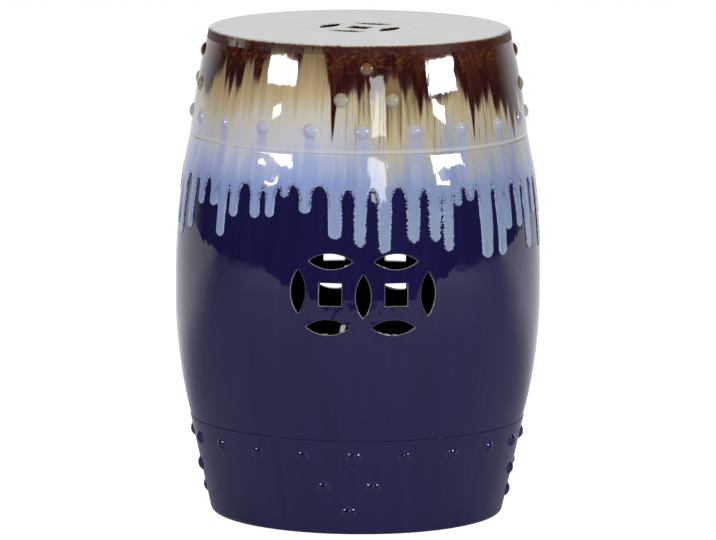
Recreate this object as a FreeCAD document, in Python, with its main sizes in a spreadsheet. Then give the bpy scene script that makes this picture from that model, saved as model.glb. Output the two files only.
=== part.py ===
import FreeCAD, Part
import math
import os
import Sketcher

# A barrel-shaped ceramic garden stool, in millimetres. The floor is z = 0, the axis of the stool is Z, and the
# front, which has one of the two pierced panels, looks along -Y. Angles are measured about Z from the front,
# towards +X.

# Each row is a driving size: its alias, its value and what it is.
SIZES = [
    ("base_collar_height", 91.5, "floor to the lower seam"),
    ("belly_height", 267.5, "lower seam to upper seam"),
    ("top_collar_height", 89.0, "upper seam to the underside of the seat's edge"),
    ("seat_thickness", 9.0, "seat slab, away from its locating rib"),
    ("belly_radius", 171.1, "widest outside radius"),
    ("belly_middle", 123.5, "lower seam to the middle of the widest band"),
    ("belly_upright", 20.0, "height of the upright band at the widest place"),
    ("belly_base_draw", 14.8, "how far the belly draws in from there to the lower seam"),
    ("belly_top_draw", 13.9, "how far the belly draws in to the upper seam"),
    ("collar_step", 0.7, "how far each collar stands proud of the belly"),
    ("wall", 8.0, "thickness of the belly and the collars"),
    ("base_draw", 20.6, "how far the base collar draws in from the lower seam to the floor, before rounding"),
    ("base_rounding", 5.0, "radius on the outer edge of the foot"),
    ("foot_width", 18.0, "width of the foot that stands on the floor"),
    ("foot_height", 9.0, "height of the thick foot inside the base collar"),
    ("top_draw", 15.5, "how far the top collar draws in from the upper seam to the seat"),
    ("top_bow", 680.0, "radius of the top collar's slight outward bow"),
    ("seat_draw", 1.8, "how far the seat's edge draws in over its thickness, before rounding"),
    ("seat_rounding", 3.0, "radius on the seat's upper edge"),
    ("rib_depth", 6.0, "locating rib under the seat, below the seam"),
    ("rib_width", 6.0, "thickness of that rib"),
    ("tongue_height", 10.0, "each collar's tongue inside the belly"),
    ("tongue_thickness", 3.5, "thickness of that tongue"),
    ("slip_gap", 0.2, "film of slip in each lap joint"),
    ("stud_radius", 6.8, "radius of a stud where it meets the wall"),
    ("stud_rise", 3.2, "how far a stud stands out"),
    ("stud_pitch", 49.5, "spacing of a ring's studs round the collar, before it is evened out"),
    ("top_ring_gap", 20.0, "upper seam to the ring of studs above it"),
    ("top_point_gap", 12.0, "seat seam down to the single stud of a triangle"),
    ("top_ring_angle", 1.3, "degrees from the front to the ring's nearest stud, top"),
    ("top_stud_angle", 2.7, "degrees from the front to the middle of the front triangle, top"),
    ("base_ring_gap", 16.5, "lower seam to the ring of studs below it"),
    ("base_point_gap", 21.0, "floor to the single stud of a triangle"),
    ("base_pair_gap", 45.5, "floor to the two upper studs of a triangle"),
    ("base_ring_angle", -1.1, "degrees from the front to the ring's nearest stud, base"),
    ("base_stud_angle", -3.0, "degrees from the front to the middle of the front triangle, base"),
    ("coin_rise", 138.5, "lower seam to the middle of the pierced coins"),
    ("coin_angle", 1.7, "degrees from the front to the middle of the front panel"),
    ("back_coin_angle", 177.7, "degrees from the front to the middle of the back panel"),
    ("back_coin_drop", 8.0, "how much lower the back panel was cut"),
    ("coin_pitch", 61.2, "middle of one coin of a panel to the middle of the other, straight across"),
    ("hole_side", 21.0, "side of a coin's square hole"),
    ("lens_length", 41.0, "length of a leaf-shaped hole, point to point"),
    ("lens_width", 14.3, "width of a leaf-shaped hole"),
    ("lens_offset", 30.5, "middle of a coin to the middle of its leaf-shaped holes"),
    ("low_leaf_shift", 2.4, "how far left of its coin's middle each lower leaf was cut"),
    ("left_leaf_lift", 2.0, "how far above the coins' middle the left upright leaf was cut"),
    ("middle_leaf_drop", 1.6, "how far below it the middle upright leaf was cut"),
    ("seat_coin_angle", -24.0, "degrees that the seat's coin is turned"),
    ("corner_rounding", 0.8, "radius in the corners of the holes"),
    ("pierced_rounding", 1.2, "radius on the outer edges of the holes"),
    ("glaze_rise", 1.3, "thickness of the run glaze at the belly"),
    ("glaze_rise_top", 0.4, "its thickness at the upper seam"),
    ("glaze_parting", 34.0, "upper seam down to where the glaze parts into runs"),
    ("glaze_flare", 5.0, "how far a run widens on each side where it leaves the coat"),
    ("back_run_drop", 70.0, "upper seam to a run's tip at the back, on average"),
    ("back_run_swing", 14.0, "how far those tips swing up and down"),
    ("back_run_ripple", 6.0, "a quicker swing on top of that one"),
    ("back_run_width", 13.0, "width of a run at the back, on average"),
    ("back_run_swell", 1.2, "how far those widths vary"),
]

# The runs of glaze across the front: degrees from the front, how far below the upper seam the tip hangs, width.
FRONT_RUNS = [
    (-82.0, 84.0, 14.0),
    (-76.0, 91.0, 14.0),
    (-67.6, 83.0, 13.0),
    (-60.9, 58.0, 12.0),
    (-53.8, 57.0, 12.0),
    (-49.0, 84.0, 13.0),
    (-43.5, 64.0, 12.0),
    (-35.1, 63.0, 13.0),
    (-29.4, 61.0, 11.0),
    (-24.3, 42.0, 11.0),
    (-17.3, 55.5, 12.8),
    (-7.3, 78.0, 14.0),
    (0.6, 85.0, 13.0),
    (8.3, 91.0, 14.0),
    (17.6, 82.0, 13.8),
    (24.8, 82.0, 13.4),
    (29.6, 91.5, 12.0),
    (33.5, 51.0, 12.0),
    (38.5, 47.0, 11.0),
    (44.7, 101.0, 15.8),
    (51.9, 101.0, 13.7),
    (55.9, 78.0, 11.0),
    (62.4, 78.0, 13.0),
    (68.6, 100.0, 13.5),
    (75.5, 70.0, 12.0),
    (82.4, 104.0, 14.0),
]
# The back goes on in the same way, evenly spaced but for a slow wobble.
BACK_RUNS = 23
BACK_START = 90.0
BACK_END = 270.0

doc = FreeCAD.newDocument("GardenStool")
sheet = doc.addObject("Spreadsheet::Sheet", "Sizes")
for row, (alias, value, note) in enumerate(SIZES, 1):
    sheet.set(f"A{row}", alias)
    sheet.set(f"B{row}", str(value))
    sheet.set(f"C{row}", note)
    sheet.setAlias(f"B{row}", alias)
doc.recompute()


def number(expression):
    return float(sheet.evalExpression(str(expression)))


# Heights and radii that several pieces share, as expressions on the sheet.
LOW_SEAM = "Sizes.base_collar_height"
HIGH_SEAM = "(Sizes.base_collar_height + Sizes.belly_height)"
SEAT_SEAM = f"({HIGH_SEAM} + Sizes.top_collar_height)"
SEAT_TOP = f"({SEAT_SEAM} + Sizes.seat_thickness)"
UPRIGHT_LOW = f"({LOW_SEAM} + Sizes.belly_middle - Sizes.belly_upright / 2)"
UPRIGHT_HIGH = f"({LOW_SEAM} + Sizes.belly_middle + Sizes.belly_upright / 2)"
BELLY_BASE_RADIUS = "(Sizes.belly_radius - Sizes.belly_base_draw)"
BELLY_TOP_RADIUS = "(Sizes.belly_radius - Sizes.belly_top_draw)"
BASE_COLLAR_RADIUS = f"({BELLY_BASE_RADIUS} + Sizes.collar_step)"
TOP_COLLAR_RADIUS = f"({BELLY_TOP_RADIUS} + Sizes.collar_step)"
FOOT_RADIUS = f"({BASE_COLLAR_RADIUS} - Sizes.base_draw)"
SEAM_RADIUS = f"({TOP_COLLAR_RADIUS} - Sizes.top_draw)"
SEAT_RADIUS = f"({SEAM_RADIUS} - Sizes.seat_draw)"
LOW_TONGUE = f"({BELLY_BASE_RADIUS} - Sizes.wall)"
HIGH_TONGUE = f"({BELLY_TOP_RADIUS} - Sizes.wall)"
COIN_HEIGHT = f"({LOW_SEAM} + Sizes.coin_rise)"
COIN_HALF_STEP = "asin(Sizes.coin_pitch / (2 * Sizes.belly_radius))"
LENS_BEND = "((Sizes.lens_length ^ 2 + Sizes.lens_width ^ 2) / (4 * Sizes.lens_width))"
STUD_SPHERE = "((Sizes.stud_radius ^ 2 + Sizes.stud_rise ^ 2) / (2 * Sizes.stud_rise))"


def turned_radius(run, rise):
    """Radius of an arc that leaves the upright direction and moves in by run over rise."""
    return f"((({run}) ^ 2 + ({rise}) ^ 2) / (2 * ({run})))"


def new_body(name):
    body = doc.addObject("PartDesign::Body", name)
    body.Label = name
    return body


def origin_part(body, role):
    for part in body.Origin.OriginFeatures:
        if part.Role == role:
            return part
    raise ValueError(role)


def new_sketch(body, name, plane, turn=None):
    """A sketch on one of the body's own planes, turned about the sketch's upright by an expression in degrees."""
    sketch = body.newObject("Sketcher::SketchObject", name)
    sketch.AttachmentSupport = [(origin_part(body, plane), "")]
    sketch.MapMode = "FlatFace"
    if turn is not None:
        sketch.AttachmentOffset = FreeCAD.Placement(
            FreeCAD.Vector(0, 0, 0), FreeCAD.Rotation(FreeCAD.Vector(0, 1, 0), number(turn)))
        sketch.setExpression("AttachmentOffset.Rotation.Angle", turn)
    return sketch


def pin(sketch, geometry, end, axis, expression):
    """Holds one coordinate of a point at an expression on the sheet."""
    kind = "DistanceX" if axis == 0 else "DistanceY"
    index = sketch.addConstraint(Sketcher.Constraint(kind, -1, 1, geometry, end, number(expression)))
    sketch.setExpression(f"Constraints[{index}]", str(expression))


def closed_outline(sketch, corners, bends=None):
    """A closed outline through corners, each a pair of expressions. bends gives, for the side that starts at a
    corner, the arc's radius and the side of travel that its centre lies on: 1 left, -1 right."""
    bends = bends or {}
    points = [FreeCAD.Vector(number(x), number(y), 0) for x, y in corners]
    first = sketch.GeometryCount
    count = len(points)
    for i in range(count):
        start = points[i]
        end = points[(i + 1) % count]
        if i not in bends:
            sketch.addGeometry(Part.LineSegment(start, end))
            continue
        radius = number(bends[i][0])
        side = bends[i][1]
        half = (end - start) / 2
        across = FreeCAD.Vector(-half.y, half.x, 0).normalize() * side
        middle = start + half
        centre = middle + across * math.sqrt(radius ** 2 - half.Length ** 2)
        crown = centre - across * radius
        # A sketch keeps its arcs anticlockwise, so one that is travelled the other way is drawn from its end.
        sketch.addGeometry(Part.Arc(start, crown, end) if side > 0 else Part.Arc(end, crown, start))
    for i in range(count):
        following = first + (i + 1) % count
        ends = {}
        for geometry in (first + i, following):
            edge = sketch.Geometry[geometry]
            starts_there = edge.StartPoint.distanceToPoint(points[(i + 1) % count]) < 1e-6
            ends[geometry] = 1 if starts_there else 2
        sketch.addConstraint(
            Sketcher.Constraint("Coincident", first + i, ends[first + i], following, ends[following]))
        x, y = corners[(i + 1) % count]
        pin(sketch, following, ends[following], 0, x)
        pin(sketch, following, ends[following], 1, y)
    for i, (radius, _) in bends.items():
        index = sketch.addConstraint(Sketcher.Constraint("Radius", first + i, number(radius)))
        sketch.setExpression(f"Constraints[{index}]", radius)


def revolve(body, sketch):
    feature = body.newObject("PartDesign::Revolution", f"{sketch.Name}_turned")
    feature.Profile = sketch
    feature.ReferenceAxis = (sketch, ["V_Axis"])
    feature.Angle = 360
    doc.recompute()
    return feature


def cut_outwards(body, sketch, depth, reversed_side):
    feature = body.newObject("PartDesign::Pocket", f"{sketch.Name}_cut")
    feature.Profile = sketch
    feature.Type = "Length"
    feature.setExpression("Length", depth)
    feature.Reversed = reversed_side
    return feature


def turn_copies(body, originals, count, name):
    feature = body.newObject("PartDesign::PolarPattern", name)
    feature.Originals = originals
    feature.Axis = (origin_part(body, "Z_Axis"), [""])
    feature.Angle = 360
    feature.Occurrences = count
    body.Tip = feature
    doc.recompute()
    return feature


def round_edges(body, wanted, radius, name):
    """Rounds the edges of the body's tip that wanted accepts."""
    base = body.Tip
    names = [f"Edge{i}" for i, edge in enumerate(base.Shape.Edges, 1) if wanted(edge)]
    if not names:
        raise ValueError(f"{name}: no edge to round")
    feature = body.newObject("PartDesign::Fillet", name)
    feature.Base = (base, names)
    feature.setExpression("Radius", radius)
    doc.recompute()
    return feature


def lens_outline(sketch, middle, upright, aside="0"):
    """A leaf-shaped hole: two equal arcs that meet in points, at middle on the sketch's upright or aside from it."""
    if upright:
        tips = [(aside, f"{middle} - Sizes.lens_length / 2"), (aside, f"{middle} + Sizes.lens_length / 2")]
    else:
        tips = [(f"{aside} - Sizes.lens_length / 2", middle), (f"{aside} + Sizes.lens_length / 2", middle)]
    closed_outline(sketch, tips, {0: (LENS_BEND, 1), 1: (LENS_BEND, 1)})


def square_outline(sketch, middle):
    half = "Sizes.hole_side / 2"
    closed_outline(sketch, [
        (f"-{half}", f"{middle} - {half}"),
        (half, f"{middle} - {half}"),
        (half, f"{middle} + {half}"),
        (f"-{half}", f"{middle} + {half}"),
    ])


def distance_from_axis(point):
    return math.hypot(point.x, point.y)


def cut_panel(body, place, turn, middle):
    """One pierced panel: two coins side by side, whose upright leaves they share."""
    depth = "Sizes.belly_radius + Sizes.wall"
    for side, name in ((-1, "left"), (1, "right")):
        coin = new_sketch(body, f"{place}_{name}_coin", "XZ_Plane", f"{turn} + {side} * {COIN_HALF_STEP}")
        square_outline(coin, middle)
        lens_outline(coin, f"{middle} + Sizes.lens_offset", False)
        lens_outline(coin, f"{middle} - Sizes.lens_offset", False, "-Sizes.low_leaf_shift")
        cut_outwards(body, coin, depth, True)
        doc.recompute()
    for step, name, height in (
            (-1, "left", f"{middle} + Sizes.left_leaf_lift"),
            (0, "middle", f"{middle} - Sizes.middle_leaf_drop"),
            (1, "right", middle)):
        leaf = new_sketch(body, f"{place}_{name}_leaf", "XZ_Plane", f"{turn} + {2 * step} * {COIN_HALF_STEP}")
        lens_outline(leaf, height, True)
        cut_outwards(body, leaf, depth, True)
        doc.recompute()


# Belly: one turned wall with a rebate inside each end for the collars' tongues.
def make_belly_wall():
    body = new_body("belly_wall")
    low_rebate = f"{LOW_TONGUE} + Sizes.tongue_thickness + Sizes.slip_gap"
    high_rebate = f"{HIGH_TONGUE} + Sizes.tongue_thickness + Sizes.slip_gap"
    low_stop = f"{LOW_SEAM} + Sizes.tongue_height + Sizes.slip_gap"
    high_stop = f"{HIGH_SEAM} - Sizes.tongue_height - Sizes.slip_gap"
    low_run = "Sizes.belly_base_draw"
    high_run = "Sizes.belly_top_draw"
    profile = new_sketch(body, "belly_profile", "XZ_Plane")
    closed_outline(profile, [
        (BELLY_BASE_RADIUS, LOW_SEAM),
        ("Sizes.belly_radius", UPRIGHT_LOW),
        ("Sizes.belly_radius", UPRIGHT_HIGH),
        (BELLY_TOP_RADIUS, HIGH_SEAM),
        (high_rebate, HIGH_SEAM),
        (high_rebate, high_stop),
        (HIGH_TONGUE, high_stop),
        ("Sizes.belly_radius - Sizes.wall", UPRIGHT_HIGH),
        ("Sizes.belly_radius - Sizes.wall", UPRIGHT_LOW),
        (LOW_TONGUE, low_stop),
        (low_rebate, low_stop),
        (low_rebate, LOW_SEAM),
    ], {
        0: (turned_radius(low_run, f"{UPRIGHT_LOW} - {LOW_SEAM}"), 1),
        2: (turned_radius(high_run, f"{HIGH_SEAM} - {UPRIGHT_HIGH}"), 1),
        6: (turned_radius(high_run, f"{high_stop} - {UPRIGHT_HIGH}"), -1),
        8: (turned_radius(low_run, f"{UPRIGHT_LOW} - ({low_stop})"), -1),
    })
    revolve(body, profile)
    cut_panel(body, "front", "Sizes.coin_angle * 1 deg", COIN_HEIGHT)
    cut_panel(body, "back", "Sizes.back_coin_angle * 1 deg", f"({COIN_HEIGHT} - Sizes.back_coin_drop)")
    low = number(LOW_SEAM)
    high = number(HIGH_SEAM)
    wall_middle = number("Sizes.belly_radius - Sizes.wall / 2")

    def hole_ends(edge):
        """The distances of a hole edge's ends from the axis, or none for an edge elsewhere."""
        middle = edge.CenterOfMass
        if not low + 1 < middle.z < high - 1 or distance_from_axis(middle) < wall_middle / 2:
            return []
        return [distance_from_axis(vertex.Point) for vertex in edge.Vertexes]

    def in_a_corner(edge):
        ends = hole_ends(edge)
        return len(ends) == 2 and min(ends) < wall_middle < max(ends)

    def at_a_hole(edge):
        ends = hole_ends(edge)
        return bool(ends) and min(ends) > wall_middle

    round_edges(body, in_a_corner, "Sizes.corner_rounding", "panel_corners")
    round_edges(body, at_a_hole, "Sizes.pierced_rounding", "panel_edges")
    return body


def make_top_collar():
    body = new_body("top_collar")
    profile = new_sketch(body, "top_collar_profile", "XZ_Plane")
    tongue_end = f"{HIGH_SEAM} - Sizes.tongue_height"
    tongue_outside = f"{HIGH_TONGUE} + Sizes.tongue_thickness"
    closed_outline(profile, [
        (TOP_COLLAR_RADIUS, HIGH_SEAM),
        (SEAM_RADIUS, SEAT_SEAM),
        (f"{SEAM_RADIUS} - Sizes.wall", SEAT_SEAM),
        (HIGH_TONGUE, HIGH_SEAM),
        (HIGH_TONGUE, tongue_end),
        (tongue_outside, tongue_end),
        (tongue_outside, HIGH_SEAM),
    ], {0: ("Sizes.top_bow", 1)})
    revolve(body, profile)
    return body


def make_base_collar():
    body = new_body("base_collar")
    profile = new_sketch(body, "base_collar_profile", "XZ_Plane")
    tongue_end = f"{LOW_SEAM} + Sizes.tongue_height"
    tongue_outside = f"{LOW_TONGUE} + Sizes.tongue_thickness"
    wall_foot = f"({FOOT_RADIUS} - Sizes.wall + Sizes.base_draw * Sizes.foot_height / {LOW_SEAM})"
    closed_outline(profile, [
        (FOOT_RADIUS, "0"),
        (BASE_COLLAR_RADIUS, LOW_SEAM),
        (tongue_outside, LOW_SEAM),
        (tongue_outside, tongue_end),
        (LOW_TONGUE, tongue_end),
        (LOW_TONGUE, LOW_SEAM),
        (wall_foot, "Sizes.foot_height"),
        (f"{FOOT_RADIUS} - Sizes.foot_width", "Sizes.foot_height"),
        (f"{FOOT_RADIUS} - Sizes.foot_width", "0"),
    ])
    revolve(body, profile)
    rim = number(FOOT_RADIUS)

    def at_the_foot(edge):
        point = edge.Vertexes[0].Point
        return abs(point.z) < 1e-6 and abs(distance_from_axis(point) - rim) < 1e-6
    round_edges(body, at_the_foot, "Sizes.base_rounding", "foot_edge")
    return body


def make_seat_slab():
    body = new_body("seat_slab")
    profile = new_sketch(body, "seat_profile", "XZ_Plane")
    rib_outside = f"{SEAM_RADIUS} - Sizes.wall - Sizes.slip_gap"
    closed_outline(profile, [
        ("0", SEAT_TOP),
        ("0", SEAT_SEAM),
        (f"{rib_outside} - Sizes.rib_width", SEAT_SEAM),
        (f"{rib_outside} - Sizes.rib_width", f"{SEAT_SEAM} - Sizes.rib_depth"),
        (rib_outside, f"{SEAT_SEAM} - Sizes.rib_depth"),
        (rib_outside, SEAT_SEAM),
        (SEAM_RADIUS, SEAT_SEAM),
        (SEAT_RADIUS, SEAT_TOP),
    ])
    revolve(body, profile)
    square = new_sketch(body, "seat_square", "XY_Plane")
    square.AttachmentOffset = FreeCAD.Placement(
        FreeCAD.Vector(0, 0, 0), FreeCAD.Rotation(FreeCAD.Vector(0, 0, 1), number("Sizes.seat_coin_angle")))
    square.setExpression("AttachmentOffset.Rotation.Angle", "Sizes.seat_coin_angle")
    square_outline(square, "0")
    leaf = new_sketch(body, "seat_leaf", "XY_Plane")
    leaf.AttachmentOffset = square.AttachmentOffset
    leaf.setExpression("AttachmentOffset.Rotation.Angle", "Sizes.seat_coin_angle")
    lens_outline(leaf, "Sizes.lens_offset", False)
    depth = f"{SEAT_TOP} + Sizes.wall"
    cut_outwards(body, square, depth, True)
    doc.recompute()
    leaf_cut = cut_outwards(body, leaf, depth, True)
    doc.recompute()
    turn_copies(body, [leaf_cut], 4, "four_leaves")
    top = number(SEAT_TOP)
    edge_radius = number(SEAT_RADIUS)

    def at_the_rim(edge):
        point = edge.Vertexes[0].Point
        return abs(point.z - top) < 1e-6 and abs(distance_from_axis(point) - edge_radius) < 1e-6

    def in_a_corner(edge):
        ends = [vertex.Point for vertex in edge.Vertexes]
        return len(ends) == 2 and distance_from_axis(edge.CenterOfMass) < edge_radius / 2 \
            and distance_from_axis(ends[0] - ends[1]) < 1e-6

    def at_a_hole(edge):
        return all(abs(vertex.Point.z - top) < 1e-6 for vertex in edge.Vertexes) \
            and distance_from_axis(edge.CenterOfMass) < edge_radius / 2 and len(edge.Vertexes) == 2

    round_edges(body, in_a_corner, "Sizes.corner_rounding", "seat_hole_corners")
    round_edges(body, at_a_hole, "Sizes.pierced_rounding", "seat_hole_edges")
    round_edges(body, at_the_rim, "Sizes.seat_rounding", "seat_edge")
    return body


# Studs: each is the cap of a sphere whose back is cut to the wall behind it. On the top collar the wall bows
# out from its chord by the product of the distances to its two ends, over twice the bow's radius.
TOP_LEAN = "atan(Sizes.top_draw / Sizes.top_collar_height)"
BASE_LEAN = f"atan(Sizes.base_draw / {LOW_SEAM})"
STUD_DEPTH = f"({STUD_SPHERE} - Sizes.stud_rise)"


def top_stud_place(height):
    share = f"(({height} - {HIGH_SEAM}) / Sizes.top_collar_height)"
    chord = f"({TOP_COLLAR_RADIUS} - Sizes.top_draw * {share})"
    bow = f"(({height} - {HIGH_SEAM}) * ({SEAT_SEAM} - {height}) / (2 * Sizes.top_bow))"
    return (f"{chord} + {bow} - {STUD_DEPTH} * cos({TOP_LEAN})",
            f"{height} - {STUD_DEPTH} * sin({TOP_LEAN})")


def base_stud_place(height):
    chord = f"({FOOT_RADIUS} + Sizes.base_draw * {height} / {LOW_SEAM})"
    return (f"{chord} - {STUD_DEPTH} * cos({BASE_LEAN})",
            f"{height} + {STUD_DEPTH} * sin({BASE_LEAN})")


TOP_RING = f"({HIGH_SEAM} + Sizes.top_ring_gap)"
TOP_POINT = f"({SEAT_SEAM} - Sizes.top_point_gap)"
TOP_PAIR = f"(({TOP_RING} + {TOP_POINT}) / 2)"
BASE_RING = f"({LOW_SEAM} - Sizes.base_ring_gap)"
BASE_POINT = "Sizes.base_point_gap"
BASE_PAIR = "Sizes.base_pair_gap"


def make_stud(name, place, wall, bends):
    """One stud at the front of the stool, which is turned into place in each group. wall is the outline that is
    cut out of its sphere, so that the stud's back follows the wall."""
    body = new_body(name)
    radius, height = place
    ball = body.newObject("PartDesign::AdditiveSphere", f"{name}_ball")
    ball.AttachmentSupport = [(origin_part(body, "XY_Plane"), "")]
    ball.MapMode = "FlatFace"
    ball.setExpression("Radius", STUD_SPHERE)
    ball.setExpression("AttachmentOffset.Base.y", f"-({radius})")
    ball.setExpression("AttachmentOffset.Base.z", height)
    doc.recompute()
    profile = new_sketch(body, f"{name}_wall", "XZ_Plane")
    closed_outline(profile, wall, bends)
    groove = body.newObject("PartDesign::Groove", f"{name}_back")
    groove.Profile = profile
    groove.ReferenceAxis = (profile, ["V_Axis"])
    groove.Angle = 360
    doc.recompute()
    return body


def make_top_stud(name, height):
    inside = f"{SEAM_RADIUS} - 2 * {STUD_SPHERE}"
    return make_stud(name, top_stud_place(height), [
        (TOP_COLLAR_RADIUS, HIGH_SEAM),
        (SEAM_RADIUS, SEAT_SEAM),
        (inside, SEAT_SEAM),
        (inside, HIGH_SEAM),
    ], {0: ("Sizes.top_bow", 1)})


def make_base_stud(name, height):
    inside = f"{FOOT_RADIUS} - 2 * {STUD_SPHERE}"
    return make_stud(name, base_stud_place(height), [
        (FOOT_RADIUS, "0"),
        (BASE_COLLAR_RADIUS, LOW_SEAM),
        (inside, LOW_SEAM),
        (inside, "0"),
    ], {})


def make_group(name, studs):
    """One node of separate studs, each a pair of the stud to copy and its angle from the front."""
    copies = []
    for stud, angle in studs:
        copy = stud.Shape.copy()
        copy.rotate(FreeCAD.Vector(0, 0, 0), FreeCAD.Vector(0, 0, 1), angle)
        copies.append(copy)
    group = doc.addObject("Part::Feature", name)
    group.Label = name
    group.Shape = Part.makeCompound(copies)
    return group


def make_studs(level, make_one, radius, heights):
    """A collar's studs, one node for each quarter: its share of the ring, and above or below it a triangle of
    three studs. The ring and the triangles are each laid out on their own, so their middles are a little apart."""
    ring, pair, point = (make_one(f"{level}_{row}_stud", height) for row, height in heights)
    ring_middle = number(f"Sizes.{level}_ring_angle")
    middle = number(f"Sizes.{level}_stud_angle")
    sides = ("front", "right", "back", "left")
    quarter = 360 / len(sides)
    count = round(math.radians(quarter) * number(radius) / number("Sizes.stud_pitch"))
    step = quarter / count
    groups = []
    for turn, side in enumerate(sides):
        ring_start = ring_middle + quarter * turn - (count - 1) / 2 * step
        centre = middle + quarter * turn
        studs = [(ring, ring_start + step * i) for i in range(count)]
        studs += [(pair, centre - step / 2), (pair, centre + step / 2), (point, centre)]
        groups.append(make_group(f"{level}_{side}_studs", studs))
    return groups


def glaze_runs():
    """Every run round the stool: its angle, how far its tip hangs below the seam, and its width."""
    runs = list(FRONT_RUNS)
    step = (BACK_END - BACK_START) / BACK_RUNS
    drop, swing, ripple, width, swell = (
        number(f"Sizes.back_run_{size}") for size in ("drop", "swing", "ripple", "width", "swell"))
    for i in range(BACK_RUNS):
        runs.append((
            BACK_START + (i + 0.5) * step + 1.4 * math.sin(2.1 * i),
            drop + swing * math.sin(1.9 * i + 0.6) + ripple * math.sin(4.3 * i),
            width + swell * math.sin(2.7 * i + 1.0),
        ))
    return runs


def belly_outside(rise_top, rise):
    """The belly's outer line from the lower seam up, with a coat of the given thickness on it."""
    low = number(LOW_SEAM)
    high = number(HIGH_SEAM)
    upright_low = number(UPRIGHT_LOW)
    upright_high = number(UPRIGHT_HIGH)
    widest = number("Sizes.belly_radius") + rise
    foot = number(BELLY_BASE_RADIUS) + rise
    head = number(BELLY_TOP_RADIUS) + rise_top

    def arc(level, turn_z, end_radius, end_z):
        run = widest - end_radius
        radius = (run ** 2 + (end_z - turn_z) ** 2) / (2 * run)
        half_turn = math.atan2(end_z - turn_z, radius - run) / 2
        centre = widest - radius
        crown = FreeCAD.Vector(centre + radius * math.cos(half_turn), 0, turn_z + radius * math.sin(half_turn))
        start = FreeCAD.Vector(widest, 0, turn_z)
        end = FreeCAD.Vector(end_radius, 0, end_z)
        return Part.Arc(start, crown, end) if level == "upper" else Part.Arc(end, crown, start)

    return [
        arc("lower", upright_low, foot, low).toShape(),
        Part.LineSegment(FreeCAD.Vector(widest, 0, upright_low), FreeCAD.Vector(widest, 0, upright_high)).toShape(),
        arc("upper", upright_high, head, high).toShape(),
    ]


def run_prism(angle, drop, width):
    """A run seen from outside: straight sides, a round tip and a flare where it leaves the coat."""
    half = width / 2
    parting = number(f"{HIGH_SEAM} - Sizes.glaze_parting")
    tip = number(HIGH_SEAM) - drop
    flare = number("Sizes.glaze_flare")
    shoulder = max(parting - 2 * flare, tip + half + 0.5)
    head = max(parting, shoulder) + flare
    near = number(HIGH_TONGUE)
    far = number("Sizes.belly_radius + Sizes.wall")

    def at(x, z):
        return FreeCAD.Vector(x, -near, z)

    edges = [
        Part.Arc(at(-half, tip + half), at(0, tip), at(half, tip + half)).toShape(),
        Part.LineSegment(at(half, tip + half), at(half, shoulder)).toShape(),
        Part.LineSegment(at(half, shoulder), at(half + flare, head)).toShape(),
        Part.LineSegment(at(half + flare, head), at(-half - flare, head)).toShape(),
        Part.LineSegment(at(-half - flare, head), at(-half, shoulder)).toShape(),
        Part.LineSegment(at(-half, shoulder), at(-half, tip + half)).toShape(),
    ]
    face = Part.Face(Part.Wire(edges))
    prism = face.extrude(FreeCAD.Vector(0, near - far, 0))
    prism.rotate(FreeCAD.Vector(0, 0, 0), FreeCAD.Vector(0, 0, 1), angle)
    return prism


# Run glaze: a thin closed coat on the belly under the upper seam, which parts into hanging runs.
def make_drip_glaze():
    inner = belly_outside(0.0, 0.0)
    outer = belly_outside(number("Sizes.glaze_rise_top"), number("Sizes.glaze_rise"))
    foot = Part.LineSegment(inner[0].Vertexes[0].Point, outer[0].Vertexes[0].Point).toShape()
    head = Part.LineSegment(outer[2].Vertexes[-1].Point, inner[2].Vertexes[-1].Point).toShape()
    section = Part.Face(Part.Wire(Part.__sortEdges__(inner + [foot] + outer + [head])))
    coat = section.revolve(FreeCAD.Vector(0, 0, 0), FreeCAD.Vector(0, 0, 1), 360)
    parting = number(f"{HIGH_SEAM} - Sizes.glaze_parting")
    near = number(HIGH_TONGUE)
    far = number("Sizes.belly_radius + Sizes.wall")
    height = number("Sizes.glaze_parting + Sizes.glaze_flare")
    foot_point = FreeCAD.Vector(0, 0, parting)
    shape = Part.makeCylinder(far, height, foot_point).cut(Part.makeCylinder(near, height, foot_point))
    for run in glaze_runs():
        shape = shape.fuse(run_prism(*run))
    feature = doc.addObject("Part::Feature", "drip_glaze")
    feature.Label = "drip_glaze"
    feature.Shape = coat.common(shape)
    return feature


pieces = [
    make_belly_wall(),
    make_top_collar(),
    make_base_collar(),
    make_seat_slab(),
    make_drip_glaze(),
]
pieces += make_studs("top", make_top_stud, TOP_COLLAR_RADIUS,
                     [("ring", TOP_RING), ("pair", TOP_PAIR), ("point", TOP_POINT)])
pieces += make_studs("base", make_base_stud, BASE_COLLAR_RADIUS,
                     [("ring", BASE_RING), ("pair", BASE_PAIR), ("point", BASE_POINT)])

doc.recompute()
for item in doc.Objects:
    if "Invalid" in item.State or "Error" in item.State:
        raise RuntimeError(f"{item.Label} failed: {item.State}")
for piece in pieces:
    if piece.Shape.isNull() or not piece.Shape.isValid():
        raise RuntimeError(f"{piece.Label} has no valid shape")

os.makedirs("parts", exist_ok=True)
for piece in pieces:
    piece.Shape.exportStep(f"parts/{piece.Label}.step")
    box = piece.Shape.BoundBox
    print(f"{piece.Label}: {len(piece.Shape.Solids)} solids, {piece.Shape.Volume / 1000:.2f} cm3,"
          f" z {box.ZMin:.1f} to {box.ZMax:.1f}, width {box.XLength:.1f}")
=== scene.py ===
import math

import bmesh
import bpy
from mathutils import Matrix, Vector, noise


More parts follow.
